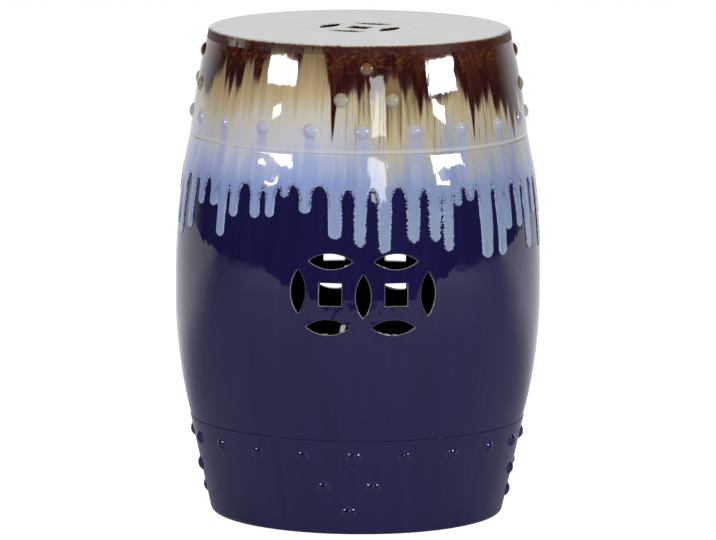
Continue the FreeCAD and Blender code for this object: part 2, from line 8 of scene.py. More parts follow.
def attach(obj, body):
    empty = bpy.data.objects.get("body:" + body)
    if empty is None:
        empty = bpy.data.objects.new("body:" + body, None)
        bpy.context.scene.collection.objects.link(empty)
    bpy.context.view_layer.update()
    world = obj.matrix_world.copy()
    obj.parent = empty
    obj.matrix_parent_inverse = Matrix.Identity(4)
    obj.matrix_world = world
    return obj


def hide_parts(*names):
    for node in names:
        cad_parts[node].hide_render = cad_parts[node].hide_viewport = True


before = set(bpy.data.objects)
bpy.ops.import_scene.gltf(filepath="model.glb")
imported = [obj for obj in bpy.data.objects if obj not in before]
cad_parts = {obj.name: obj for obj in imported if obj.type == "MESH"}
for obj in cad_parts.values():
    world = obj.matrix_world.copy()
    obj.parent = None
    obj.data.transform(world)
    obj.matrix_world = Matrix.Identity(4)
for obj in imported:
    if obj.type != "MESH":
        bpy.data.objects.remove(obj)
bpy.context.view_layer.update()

# An angle round the stool is in degrees, 0 at the front panel (-Y) and growing towards +X.
mm = 0.001
stool = {  # mm, as the frame has them
    "seatTop": 457.0,
    "seatSeam": 448.0,
    "topSeam": 359.0,
    "floorSeam": 91.5,
    "widest": 171.1,
    "uprightHigh": 225.0,
    "uprightLow": 205.0,
    "topDraw": 13.9,
    "floorDraw": 14.8,
    "collarLow": 158.3,  # outer radii of the top collar and the base collar at their seams and ends
    "collarHigh": 142.8,
    "baseHigh": 157.0,
    "baseLow": 136.4,
    "seatHole": 90.0,  # the seat's piercing lies inside this radius
    "ringStuds": 20,
    "ringTurn": 1.3,
}
patterns = {  # mm across and along, then the noise's shift, the values that become 0 and 1, and its detail
    "fineFlow": (2.2, 60),
    "broadFlow": (7, 140, 3.1, 0.3, 0.7),
    "wideFlow": (34, 110, 21.9, 0.35, 0.65, 0.0),
    "brownFlow": (3.5, 30, 31.0, 0.4, 0.7, 3.0),
    "amberPatch": (5, 4, 4.4, 0.5, 0.74, 4.0),
    "seatCloud": (30, 30, 2.0, 0.3, 0.7),
    "seatEdge": (3, 3, 9.0),
    "seatSpill": (4, 7, 13.0, 0.35, 0.6),
    "bellyCloud": (9, 120, 1.3, 0.3, 0.7),
    "baseCloud": (9, 120, 5.3, 0.3, 0.7),
    "runGrain": (1.3, 1.6, 2.2, 0.35, 0.65, 1.0),
    "runThread": (3.5, 70, 5.5),
    "runGreen": (6, 40, 8.8),
    "runTooth": (2.0, 1.6, 6.1, 0.35, 0.65, 1.0),
    "runFleck": (1.3, 1.6, 14.6, 0.52, 0.56, 1.0),
}
drumRadius = 155.0


def linear(hexColour):
    parts = [int(hexColour[i:i + 2], 16) / 255 for i in (1, 3, 5)]
    return tuple(c / 12.92 if c <= 0.04045 else ((c + 0.055) / 1.055) ** 2.4 for c in parts) + (1.0,)


def addNode(tree, kind, *values, named=None, give=0, stops=None, **settings):
    # one node with its settings and stops, its open sockets filled or linked, in order or by name; gives back
    # one of its outputs
    node = tree.nodes.new("ShaderNode" + kind)
    for name, value in settings.items():
        setattr(node, name, value)
    if kind == "ValToRGB":
        ramp = node.color_ramp.elements
        while len(ramp) < len(stops):
            ramp.new(1.0)
        for stop, (place, colour) in zip(ramp, stops):
            stop.position = place
            stop.color = linear(colour)
    elif kind == "FloatCurve":
        curve = node.mapping.curves[0]
        while len(curve.points) < len(stops):
            curve.points.new(1.0, 0.0)
        for point, place in zip(curve.points, stops):
            point.location = place
            point.handle_type = "VECTOR"
        node.mapping.update()
    filled = [pair for pair in zip([socket for socket in node.inputs if socket.enabled], values)]
    filled += [(node.inputs[name], value) for name, value in (named or {}).items()]
    for socket, value in filled:
        if isinstance(value, bpy.types.NodeSocket):
            tree.links.new(value, socket)
        else:
            socket.default_value = linear(value) if isinstance(value, str) else value
    outputs = [socket for socket in node.outputs if socket.enabled]
    return outputs[give] if outputs else node


def startMaterial(name):
    material = bpy.data.materials.new(name)
    material.use_nodes = True
    material.node_tree.nodes.clear()
    return material, material.node_tree


def unroll(tree):
    # height and distance from the axis in mm; the turn in degrees, and the same with the back mirrored on the
    # front; a point in mm on an even drum, on which streaks run straight down and meet at the back; and the
    # place itself in mm
    place = addNode(tree, "TexCoord", give=3)
    x, y, z = addNode(tree, "SeparateXYZ", place).node.outputs
    flat = addNode(tree, "VectorMath", place, (1000, 1000, 0), operation="MULTIPLY")
    around = addNode(tree, "VectorMath", flat, operation="NORMALIZE")
    upright = addNode(tree, "VectorMath", place, (0, 0, 1000), operation="MULTIPLY")
    front = addNode(tree, "Math", y, -1, operation="MULTIPLY")
    mirrored = addNode(tree, "Math", y, operation="ABSOLUTE")
    turn = addNode(tree, "Math", x, front, operation="ARCTAN2")
    angle = addNode(tree, "Math", x, mirrored, operation="ARCTAN2")
    drum = (drumRadius, drumRadius, 0)
    return {
        "height": addNode(tree, "Math", z, 1000, operation="MULTIPLY"),
        "radius": addNode(tree, "VectorMath", flat, operation="LENGTH"),
        "turn": addNode(tree, "Math", turn, operation="DEGREES"),
        "angle": addNode(tree, "Math", angle, operation="DEGREES"),
        "drum": addNode(tree, "VectorMath", around, drum, upright, operation="MULTIPLY_ADD"),
        "place": addNode(tree, "VectorMath", place, (1000, 1000, 1000), operation="MULTIPLY"),
    }


def streaks(tree, point, across, along, shift=0.0, low=0.35, high=0.65, detail=2.0):
    # 0 to 1, in stripes about as wide and long as given in mm
    stretched = addNode(tree, "VectorMath", point, (1 / across, 1 / across, 1 / along), (shift, shift, shift),
                        operation="MULTIPLY_ADD")
    cloud = addNode(tree, "TexNoise", stretched, 1.0, detail, 0.5)
    return addNode(tree, "MapRange", cloud, low, high)


melt = {  # mm: the slow swell and the fine upright ripple that the melt leaves, as wide, as long and as deep
    "swell": (13, 22, 0.055),
    "ripple": (3.0, 11, 0.034),
}


glassy = {"roughness": 0.035, "ior": 1.5}


def finishGlaze(tree, at, colour, roughness=glassy["roughness"], relief=1.0, ior=glassy["ior"]):
    # fired glaze: glass over clay, whose skin keeps a slow swell and a fine ripple from when it ran down
    normal = None
    for across, along, deep in melt.values():
        height = streaks(tree, at["drum"], across, along, across, 0.0, 1.0, 1.0)
        bump = addNode(tree, "Bump",
                       named={"Strength": 1.0, "Distance": deep * relief * mm, "Height": height})
        if normal:
            tree.links.new(normal, bump.node.inputs["Normal"])
        normal = bump
    shader = addNode(tree, "BsdfPrincipled", named={"Base Color": colour, "Roughness": roughness, "IOR": ior,
                                                    "Normal": normal})
    addNode(tree, "OutputMaterial", shader)


print("glaze materials")
# Reactive stoneware glaze: iron brown at the rim, where it ran thin, then cream and blue where it gathered.
flowing = {
    "blue": "#8593C6",
    "lavender": "#A0ACCD",
    "milk": "#BFC1C9",
    "cream": "#C5BFB0",
    "tan": "#B69F78",
    "slate": "#7C8CB0",
    "greyBlue": "#9AA0A8",
    "stone": "#AFA899",
    "straw": "#B2A27C",
    "olive": "#7A6646",
    # the height in mm at which each colour is purest where nothing disturbs the flow, left and right in front
    "left": [("blue", 324), ("lavender", 346), ("milk", 368), ("cream", 391), ("tan", 412), ("olive", 445)],
    "right": [("slate", 320), ("greyBlue", 347), ("stone", 370), ("straw", 389), ("olive", 420)],
    "underStud": "#93A1C8",
    "thread": "#4F4632",
    "fringe": "#7C6A55",
    "plum": "#432625",
    "brown": "#2A0E0C",
    "redBrown": "#401D16",
    "amber": "#7A4A26",
    "seamLine": "#CFCDC4",
    "edgeLow": 340,  # mm: the heights between which the brown's edge runs
    "edgeReach": 120,
    # how far down the brown comes, read off the front: degrees, height in mm
    "brownEdge": [
        (-90, 414), (-80, 404), (-70, 399), (-66.5, 399), (-63, 413), (-59.5, 418), (-57.8, 431),
        (-55.6, 404), (-54.5, 422), (-52.3, 396), (-50.5, 420), (-47.4, 402), (-45.5, 430), (-42.4, 431),
        (-39.8, 418), (-38.4, 411), (-37.2, 436), (-31, 444), (-26, 442), (-22.6, 428), (-20.8, 448),
        (-13, 448), (-11, 421), (-9.8, 402), (-8.9, 352), (-8.0, 402), (-5.5, 404), (-2.5, 412),
        (0.3, 404), (2.4, 421), (4.2, 405), (8, 409), (11, 426), (14, 420), (16.2, 402), (19, 418),
        (20.8, 402), (21.9, 386), (23, 403), (29, 402), (33, 403), (36, 413), (38, 421), (40, 402),
        (42, 394), (42.9, 360), (44, 392), (46, 388), (48.7, 404), (50.6, 393), (53.2, 410), (55.3, 380),
        (57, 388), (59, 397), (61.3, 380), (63.5, 390), (66.8, 355), (68.5, 388), (71.3, 366), (75, 398),
        (81, 384), (90, 414),
    ],
}


flow = {
    "rightFrom": -20,  # degrees between which the look of the left gives way to that of the right
    "rightFull": 12,
    "strayLeft": 14.0,  # mm: how much the streaks differ in how far they ran
    "strayRight": 34.0,
    "farLeft": -50,  # degrees: further left than this the colours lie lower by so many mm
    "nearLeft": -15,
    "lower": 9.0,
    "threadEnd": 345,  # mm: heights where the dark threads fade out and are full
    "threadFull": 375,
    "streakHalf": 2.6,  # degrees: half the width of the blue streak under a stud, and of its core
    "streakCore": 1.0,
    "streakStart": 384,  # mm
    "streakFull": 376,
    "brownBroad": 9,  # mm: how far broad and fine streaks push the brown's edge, and its mean put right
    "brownFine": 6,
    "brownMean": 8,
    "brownDepth": 40,  # mm over which the brown deepens
    "amberFrom": 424,  # mm
    "amberFull": 446,
    "edgeFrom": -6,  # mm below and above the brown's edge where it starts and is full
    "edgeFull": 9,
}


def flowingColour(tree, at):
    height = at["height"]
    fine = streaks(tree, at["drum"], *patterns["fineFlow"])
    broad = streaks(tree, at["drum"], *patterns["broadFlow"])
    wide = streaks(tree, at["drum"], *patterns["wideFlow"])
    right = addNode(tree, "MapRange", at["angle"], flow["rightFrom"], flow["rightFull"],
                    interpolation_type="SMOOTHSTEP")
    # every streak ran a little further or less far, more so on the right
    stray = addNode(tree, "Math", fine, 0.45, broad, operation="MULTIPLY_ADD")
    stray = addNode(tree, "Math", wide, 0.5, stray, operation="MULTIPLY_ADD")
    stray = addNode(tree, "Math", stray, 1.0, operation="SUBTRACT")
    level = addNode(tree, "MapRange", at["angle"], flow["farLeft"], flow["nearLeft"], flow["lower"], 0.0)
    level = addNode(tree, "Math", height, level, operation="ADD")
    strayed = addNode(tree, "MapRange", right, 0.0, 1.0, flow["strayLeft"], flow["strayRight"])
    level = addNode(tree, "Math", stray, strayed, level, operation="MULTIPLY_ADD")
    low, high = flowing["right"][0][1], flowing["left"][-1][1]
    share = addNode(tree, "MapRange", level, low, high)
    left, farRight = [addNode(tree, "ValToRGB", share, stops=[((z - low) / (high - low), flowing[name])
                                                              for name, z in flowing[side]])
                      for side in ("left", "right")]
    body = addNode(tree, "Mix", right, left, farRight, data_type="RGBA")
    thread = addNode(tree, "MapRange", fine, 0.78, 1.0, 0.0, 0.6)
    thread = addNode(tree, "Math", thread, right, operation="MULTIPLY")
    highUp = addNode(tree, "MapRange", height, flow["threadEnd"], flow["threadFull"])
    thread = addNode(tree, "Math", thread, highUp, operation="MULTIPLY")
    body = addNode(tree, "Mix", thread, body, flowing["thread"], data_type="RGBA")
    # a pale blue streak runs from under each stud of the ring
    step = 360 / stool["ringStuds"]
    off = addNode(tree, "Math", at["turn"], 360 - stool["ringTurn"] + step / 2, operation="ADD")
    off = addNode(tree, "Math", off, step, operation="MODULO")
    off = addNode(tree, "Math", off, step / 2, operation="SUBTRACT")
    off = addNode(tree, "Math", off, operation="ABSOLUTE")
    under = addNode(tree, "MapRange", off, flow["streakHalf"], flow["streakCore"], 0.0, 0.5,
                    interpolation_type="SMOOTHSTEP")
    below = addNode(tree, "MapRange", height, flow["streakStart"], flow["streakFull"])
    under = addNode(tree, "Math", under, below, operation="MULTIPLY")
    body = addNode(tree, "Mix", under, body, flowing["underStud"], data_type="RGBA")
    # brown fingers from the rim, plum and olive where they thin out
    share = addNode(tree, "MapRange", at["angle"], -90, 90)
    bottom, reach = flowing["edgeLow"], flowing["edgeReach"]
    points = [((angle + 90) / 180, (z - bottom) / reach) for angle, z in flowing["brownEdge"]]
    edge = addNode(tree, "Math", addNode(tree, "FloatCurve", 1.0, share, stops=points), reach, bottom,
                   operation="MULTIPLY_ADD")
    above = addNode(tree, "Math", height, edge, operation="SUBTRACT")
    above = addNode(tree, "Math", broad, flow["brownBroad"], above, operation="MULTIPLY_ADD")
    above = addNode(tree, "Math", fine, flow["brownFine"], above, operation="MULTIPLY_ADD")
    above = addNode(tree, "Math", above, flow["brownMean"], operation="SUBTRACT")
    browns = addNode(tree, "ValToRGB", addNode(tree, "MapRange", above, 0, flow["brownDepth"]),
                     stops=[(0.0, flowing["fringe"]), (0.14, flowing["plum"]), (0.38, flowing["brown"]),
                            (0.7, flowing["brown"]), (1.0, flowing["redBrown"])])
    cloud = streaks(tree, at["drum"], *patterns["brownFlow"])
    inBrown = addNode(tree, "MapRange", above, 8, 20, 0.0, 0.8)
    cloud = addNode(tree, "Math", cloud, inBrown, operation="MULTIPLY")
    browns = addNode(tree, "Mix", cloud, browns, flowing["redBrown"], data_type="RGBA")
    patch = streaks(tree, at["place"], *patterns["amberPatch"])
    nearRim = addNode(tree, "MapRange", height, flow["amberFrom"], flow["amberFull"], 0.0, 0.8,
                      interpolation_type="SMOOTHSTEP")
    patch = addNode(tree, "Math", patch, nearRim, operation="MULTIPLY")
    browns = addNode(tree, "Mix", patch, browns, flowing["amber"], data_type="RGBA")
    shown = addNode(tree, "MapRange", above, flow["edgeFrom"], flow["edgeFull"],
                    interpolation_type="SMOOTHSTEP")
    return addNode(tree, "Mix", shown, body, browns, data_type="RGBA")


def makeFlowingGlaze():
    material, tree = startMaterial("flowingReactiveGlaze")
    at = unroll(tree)
    colour = flowingColour(tree, at)
    # the glaze draws back from the collar's sharp lower edge and leaves a pale line
    line = addNode(tree, "MapRange", at["height"], 363.4, 360.4, 0.0, 0.45, interpolation_type="SMOOTHSTEP")
    colour = addNode(tree, "Mix", line, colour, flowing["seamLine"], data_type="RGBA")
    finishGlaze(tree, at, colour)
    return material


seat = {
    "pale": "#CBCCC6",
    "paler": "#D0D1CB",
    "spilt": "#8F8B84",
    # painted shade: the walls inside the seat's piercing, near-black
    "hole": "#15120F",
    "spillTurn": 54,  # degrees to the left of the front, where the pale glaze spills over the rim
    "spillHalf": 9,
    "edgeHeight": 456.1,  # mm: the poured glaze ends here, a line of amber runs just under it
    "dull": 0.4,  # roughness of the thin glaze on the edge and of the poured one
    "poured": 0.12,
    "thinIor": 1.2,
}


def makeSeatGlaze():
    # pale glaze poured thick on the seat, breaking to brown where it thins at the rim
    material, tree = startMaterial("palePouredGlaze")
    at = unroll(tree)
    side = addNode(tree, "Mix", 0.45, flowingColour(tree, at), flowing["brown"], data_type="RGBA")
    cloud = streaks(tree, at["place"], *patterns["seatCloud"])
    top = addNode(tree, "Mix", cloud, seat["pale"], seat["paler"], data_type="RGBA")
    level = streaks(tree, at["place"], *patterns["seatEdge"])
    level = addNode(tree, "Math", level, 0.7, at["height"], operation="MULTIPLY_ADD")
    spill = addNode(tree, "Math", at["turn"], seat["spillTurn"], operation="ADD")
    spill = addNode(tree, "Math", spill, operation="ABSOLUTE")
    spill = addNode(tree, "MapRange", spill, seat["spillHalf"], 2, interpolation_type="SMOOTHSTEP")
    torn = streaks(tree, at["place"], *patterns["seatSpill"])
    spill = addNode(tree, "Math", spill, torn, operation="MULTIPLY")
    side = addNode(tree, "Mix", addNode(tree, "Math", spill, 0.75, operation="MULTIPLY"), side, seat["spilt"],
                   data_type="RGBA")
    poured = addNode(tree, "MapRange", level, seat["edgeHeight"], seat["edgeHeight"] + 1.0,
                     interpolation_type="SMOOTHSTEP")
    line = addNode(tree, "MapRange", level, seat["edgeHeight"] - 1.1, seat["edgeHeight"] - 0.3, 0.0, 0.6)
    side = addNode(tree, "Mix", line, side, flowing["amber"], data_type="RGBA")
    colour = addNode(tree, "Mix", poured, side, top, data_type="RGBA")
    # painted shade: from just under the seat's top the walls of the piercing turn near-black
    hole = addNode(tree, "Math", at["radius"], stool["seatHole"], operation="LESS_THAN")
    down = addNode(tree, "MapRange", at["height"], stool["seatTop"] - 0.6, stool["seatTop"] - 1.6)
    paintedHoleShade = addNode(tree, "Math", hole, down, operation="MULTIPLY")
    colour = addNode(tree, "Mix", paintedHoleShade, colour, seat["hole"], data_type="RGBA")
    # the thin glaze on the edge is dull, the poured one glassy
    roughness = addNode(tree, "MapRange", poured, 0.0, 1.0, seat["dull"], seat["poured"])
    ior = addNode(tree, "MapRange", poured, 0.0, 1.0, seat["thinIor"], glassy["ior"])
    finishGlaze(tree, at, colour, roughness, 0.3, ior)
    return material


cobalt = {
    "deep": "#15133A",
    "light": "#1A1844",
    "edge": "#8C8C8A",  # where the glaze breaks on a sharp edge
    # painted shade: the walls deep in the pierced holes and the inside of the belly
    "inside": "#0C0A0A",
    "pooled": "#34325F",
}


def cobaltColour(tree, at, pattern):
    cloud = streaks(tree, at["drum"], *patterns[pattern])
    return addNode(tree, "Mix", cloud, cobalt["deep"], cobalt["light"], data_type="RGBA")


def makeBellyGlaze():
    # deep cobalt-navy glaze, glassy and almost even, breaking grey on the sharp edges of the pierced holes;
    # deeper in the holes and on the whole inside it is painted near-black as shade
    material, tree = startMaterial("cobaltNavyGlaze")
    at = unroll(tree)
    colour = cobaltColour(tree, at, "bellyCloud")
    outside = stool["widest"]
    for start, end, draw in ((stool["uprightHigh"], stool["topSeam"], stool["topDraw"]),
                             (stool["uprightLow"], stool["floorSeam"], stool["floorDraw"])):
        share = addNode(tree, "MapRange", at["height"], start, end)
        share = addNode(tree, "Math", share, 2, operation="POWER")
        share = addNode(tree, "Math", share, draw, operation="MULTIPLY")
        outside = addNode(tree, "Math", outside, share, operation="SUBTRACT")
    depth = addNode(tree, "Math", outside, at["radius"], operation="SUBTRACT")
    below = addNode(tree, "MapRange", depth, 0.2, 0.5)
    above = addNode(tree, "MapRange", depth, 1.7, 1.2)
    edge = addNode(tree, "Math", below, above, operation="MULTIPLY")
    colour = addNode(tree, "Mix", edge, colour, cobalt["edge"], data_type="RGBA")
    # painted shade: past the breaking edge the hole walls and the inside turn near-black
    colour = addNode(tree, "Mix", addNode(tree, "MapRange", depth, 1.3, 1.9), colour, cobalt["inside"],
                     data_type="RGBA")
    finishGlaze(tree, at, colour, 0.025, 2.0)
    return material


def makeBaseGlaze():
    # the same glassy navy glaze on the base, which has no pierced edges
    material, tree = startMaterial("cobaltNavyBaseGlaze")
    at = unroll(tree)
    finishGlaze(tree, at, cobaltColour(tree, at, "baseCloud"))
    return material


def makeStudGlaze():
    # the flowing glaze again, thin on each stud's crown; round its foot pale low down and olive to brown
    # higher up, the darker foot painted shade where it meets the wall
    material, tree = startMaterial("thinnedStudGlaze")
    at = unroll(tree)
    wall = addNode(tree, "MapRange", at["height"], stool["topSeam"], stool["seatSeam"],
                   stool["collarLow"], stool["collarHigh"])
    out = addNode(tree, "Math", at["radius"], wall, operation="SUBTRACT")
    up = addNode(tree, "MapRange", at["height"], 370, 442)
    crown = addNode(tree, "ValToRGB", up, stops=[(0.0, flowing["lavender"]), (0.45, flowing["stone"]),
                                                 (1.0, flowing["amber"])])
    # painted shade: the olive and brown round the foot of the higher studs
    footTintAndShade = addNode(tree, "ValToRGB", up, stops=[(0.0, flowing["milk"]), (0.45, flowing["olive"]),
                                                (1.0, flowing["brown"])])
    share = addNode(tree, "MapRange", out, 0.8, 2.6, interpolation_type="SMOOTHSTEP")
    colour = addNode(tree, "Mix", share, footTintAndShade, crown, data_type="RGBA")
    colour = addNode(tree, "Mix", 0.7, flowingColour(tree, at), colour, data_type="RGBA")
    finishGlaze(tree, at, colour, 0.05)
    return material


def makeBaseStudGlaze():
    # navy glaze pooled pale round the foot of each stud
    material, tree = startMaterial("cobaltStudGlaze")
    at = unroll(tree)
    wall = addNode(tree, "MapRange", at["height"], 0, stool["floorSeam"], stool["baseLow"], stool["baseHigh"])
    out = addNode(tree, "Math", at["radius"], wall, operation="SUBTRACT")
    share = addNode(tree, "MapRange", out, 2.0, 0.4, 0.0, 0.8, interpolation_type="SMOOTHSTEP")
    colour = cobaltColour(tree, at, "baseCloud")
    colour = addNode(tree, "Mix", share, colour, cobalt["pooled"], data_type="RGBA")
    finishGlaze(tree, at, colour)
    return material


# The thick blue coat under the upper seam: one skin that parts into runs, each with a round, fuller tip.
runCoat = {
    "columns": 760,
    "row": 1.3,  # mm between rows where the runs are
    "upperRow": 3.0,
    "shoulder": 332.0,  # height where the close rows begin
    "lowest": 250.0,
    "parting": 329.0,
    "seamRise": 0.4,  # thickness in mm at the seam, and lower down
    "rise": 1.15,
    "edgeRound": 2.4,
    "taper": 0.16,
    "flare": 4.2,  # how much a run widens on each side where it leaves the coat, and over what height
    "flareHeight": 15.0,
    "taperHeight": 45.0,
    "tipHeight": 20.0,  # no flare at the very tip, and softer joins from this height on
    "blend": 6.0,
    "blendHeight": 25.0,
    "slim": 0.94,  # the wall's share of the width seen
    "window": 7.0,  # degrees to each side in which a run counts
    "edgeWobble": 2.0,
    "sway": 1.2,
    "swell": 0.12,
    "thickens": 30.0,  # from the seam down to where it has its full thickness
    "sink": 0.6,  # outside its edge the coat dives this much under the wall
    "skin": 0.5,
    "innerDepth": 0.9,
    "runs": [  # degrees, how far the tip hangs below the seam and the width, in mm
        (-82.0, 84.0, 14.0), (-76.0, 91.0, 14.0), (-67.6, 83.0, 13.0), (-60.9, 58.0, 12.0),
        (-53.8, 57.0, 12.0), (-49.0, 84.0, 13.0), (-43.5, 64.0, 12.0), (-35.1, 63.0, 13.0),
        (-29.4, 61.0, 11.0), (-24.3, 42.0, 11.0), (-17.3, 55.5, 12.8), (-7.3, 78.0, 14.0),
        (0.6, 85.0, 13.0), (8.3, 91.0, 14.0), (17.6, 82.0, 13.8), (24.8, 82.0, 13.4), (29.6, 91.5, 12.0),
        (33.5, 51.0, 12.0), (38.5, 47.0, 11.0), (44.7, 101.0, 15.8), (51.9, 101.0, 13.7),
        (55.9, 78.0, 11.0), (62.4, 78.0, 13.0), (68.6, 100.0, 13.5), (75.5, 70.0, 12.0),
        (82.4, 104.0, 14.0),
    ],
    "backRuns": 23,
}


def bellyRadius(z):
    fall = max(z - stool["uprightHigh"], 0.0)
    reach = stool["topSeam"] - stool["uprightHigh"]
    arc = (stool["topDraw"] ** 2 + reach ** 2) / (2 * stool["topDraw"])
    return stool["widest"] - arc + math.sqrt(arc ** 2 - fall ** 2)


def allRuns():
    # the front ones as they are seen, and as many again round the back that differ in waves
    runs = list(runCoat["runs"])
    step = 180 / runCoat["backRuns"]
    for i in range(runCoat["backRuns"]):
        middle = 90 + (i + 0.5) * step + 1.4 * math.sin(2.1 * i)
        drop = 70 + 14 * math.sin(1.9 * i + 0.6) + 6 * math.sin(4.3 * i)
        runs.append((middle, drop, 13 + 1.2 * math.sin(2.7 * i + 1)))
    return runs


def softMax(a, b, width):
    near = max(width - abs(a - b), 0.0) / width
    return max(a, b) + near * near * width / 4


def insideCoat(runs, angle, z):
    # mm inside the coat's edge, or outside it where negative
    turn = math.radians(angle)
    wobble = noise.noise(Vector((math.sin(turn) * 9, math.cos(turn) * 9, z * 0.03)))
    inside = z - runCoat["parting"] - runCoat["edgeWobble"] * wobble
    for middle, drop, width in runs:
        off = (angle - middle + 180) % 360 - 180
        if abs(off) > runCoat["window"]:
            continue
        half = width / 2 * runCoat["slim"]
        across = math.radians(off) * bellyRadius(z) + runCoat["sway"] * wobble
        up = z - (stool["topSeam"] - drop + half)
        if up >= 0:
            below = max(runCoat["parting"] - z, 0.0)
            flare = runCoat["flare"] * max(1 - below / runCoat["flareHeight"], 0.0) ** 2
            side = half * (1 + runCoat["taper"] * min(up / runCoat["taperHeight"], 1.0)) - abs(across)
            side += flare * min(up / runCoat["tipHeight"], 1.0)
        else:
            side = half - math.hypot(across, up)
        inside = softMax(inside, side, runCoat["blend"] * min(max(up / runCoat["blendHeight"], 0.15), 1.0))
    return inside


def makeRunCoat():
    runs = allRuns()
    bm = bmesh.new()
    toEdge = bm.verts.layers.float.new("toEdge")
    heights = []
    z = stool["topSeam"]
    while z > runCoat["lowest"]:
        heights.append(z)
        z -= runCoat["upperRow"] if z > runCoat["shoulder"] + 0.1 else runCoat["row"]
    line = [bm.verts.new((0, -bellyRadius(z) * mm, z * mm)) for z in heights]
    edges = [bm.edges.new(pair) for pair in zip(line, line[1:])]
    bmesh.ops.spin(bm, geom=line + edges, cent=(0, 0, 0), axis=(0, 0, 1), dvec=(0, 0, 0), angle=math.tau,
                   steps=runCoat["columns"], use_merge=True)
    for vert in bm.verts:
        z = vert.co.z / mm
        angle = math.degrees(math.atan2(vert.co.x, -vert.co.y))
        inside = insideCoat(runs, angle, z)
        vert[toEdge] = inside
        grown = min((stool["topSeam"] - z) / runCoat["thickens"], 1.0)
        full = runCoat["seamRise"] + (runCoat["rise"] - runCoat["seamRise"]) * grown
        full += runCoat["swell"] * noise.noise(vert.co * 90)
        if inside > 0:
            rise = full * math.sqrt(1 - (1 - min(inside / runCoat["edgeRound"], 1.0)) ** 2)
        else:
            rise = max(inside * runCoat["sink"], -runCoat["sink"])
        out = (bellyRadius(z) + rise) * mm
        turn = math.radians(angle)
        vert.co.x = out * math.sin(turn)
        vert.co.y = -out * math.cos(turn)
    bare = [face for face in bm.faces if all(vert[toEdge] < -1.0 for vert in face.verts)]
    bmesh.ops.delete(bm, geom=bare, context="FACES")
    bmesh.ops.recalc_face_normals(bm, faces=bm.faces)
    top = max(bm.faces, key=lambda face: face.calc_center_median().z)
    centre = top.calc_center_median()
    if top.normal.dot(Vector((centre.x, centre.y, 0))) < 0:
        bmesh.ops.reverse_faces(bm, faces=bm.faces)
    outer = set(bm.verts)
    bmesh.ops.solidify(bm, geom=list(bm.faces), thickness=runCoat["skin"] * mm)
    for vert in bm.verts:
        if vert in outer:
            continue
        inner = (bellyRadius(vert.co.z / mm) - runCoat["innerDepth"]) * mm
        vert.co.x, vert.co.y = Vector((vert.co.x, vert.co.y)).normalized() * inner
    for face in bm.faces:
        face.smooth = True
    mesh = bpy.data.meshes.new("runGlaze")
    bm.to_mesh(mesh)
    bm.free()
    piece = bpy.data.objects.new("runGlaze", mesh)
    bpy.context.collection.objects.link(piece)
    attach(piece, "root")
    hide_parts("drip_glaze")
    print("run glaze:", len(mesh.polygons), "faces")
    return piece


runBands = {  # mm up, unless it says degrees
    "upperEnd": 340,  # the colours of the collar go over into those of the runs
    "lowerStart": 318,
    "greenFull": 270,
    "toothMiddle": 15,  # degrees: the runs within toothFull of this have long teeth, past toothEnd short ones
    "toothFull": 15,
    "toothEnd": 24,
    "toothLong": 1.9,  # mm
    "toothShort": 0.5,
    "fleckLow": 306,
    "fleckLowFull": 316,
    "fleckHighFull": 326,
    "fleckHigh": 334,
}
runColours = {
    "blue": "#7F8EC4",
    "greyBlue": "#8C9BC0",
    "slate": "#7989A9",
    "green": "#899BA2",
    "grain": "#9AA9C8",
    "rim": "#B6BEDC",
}


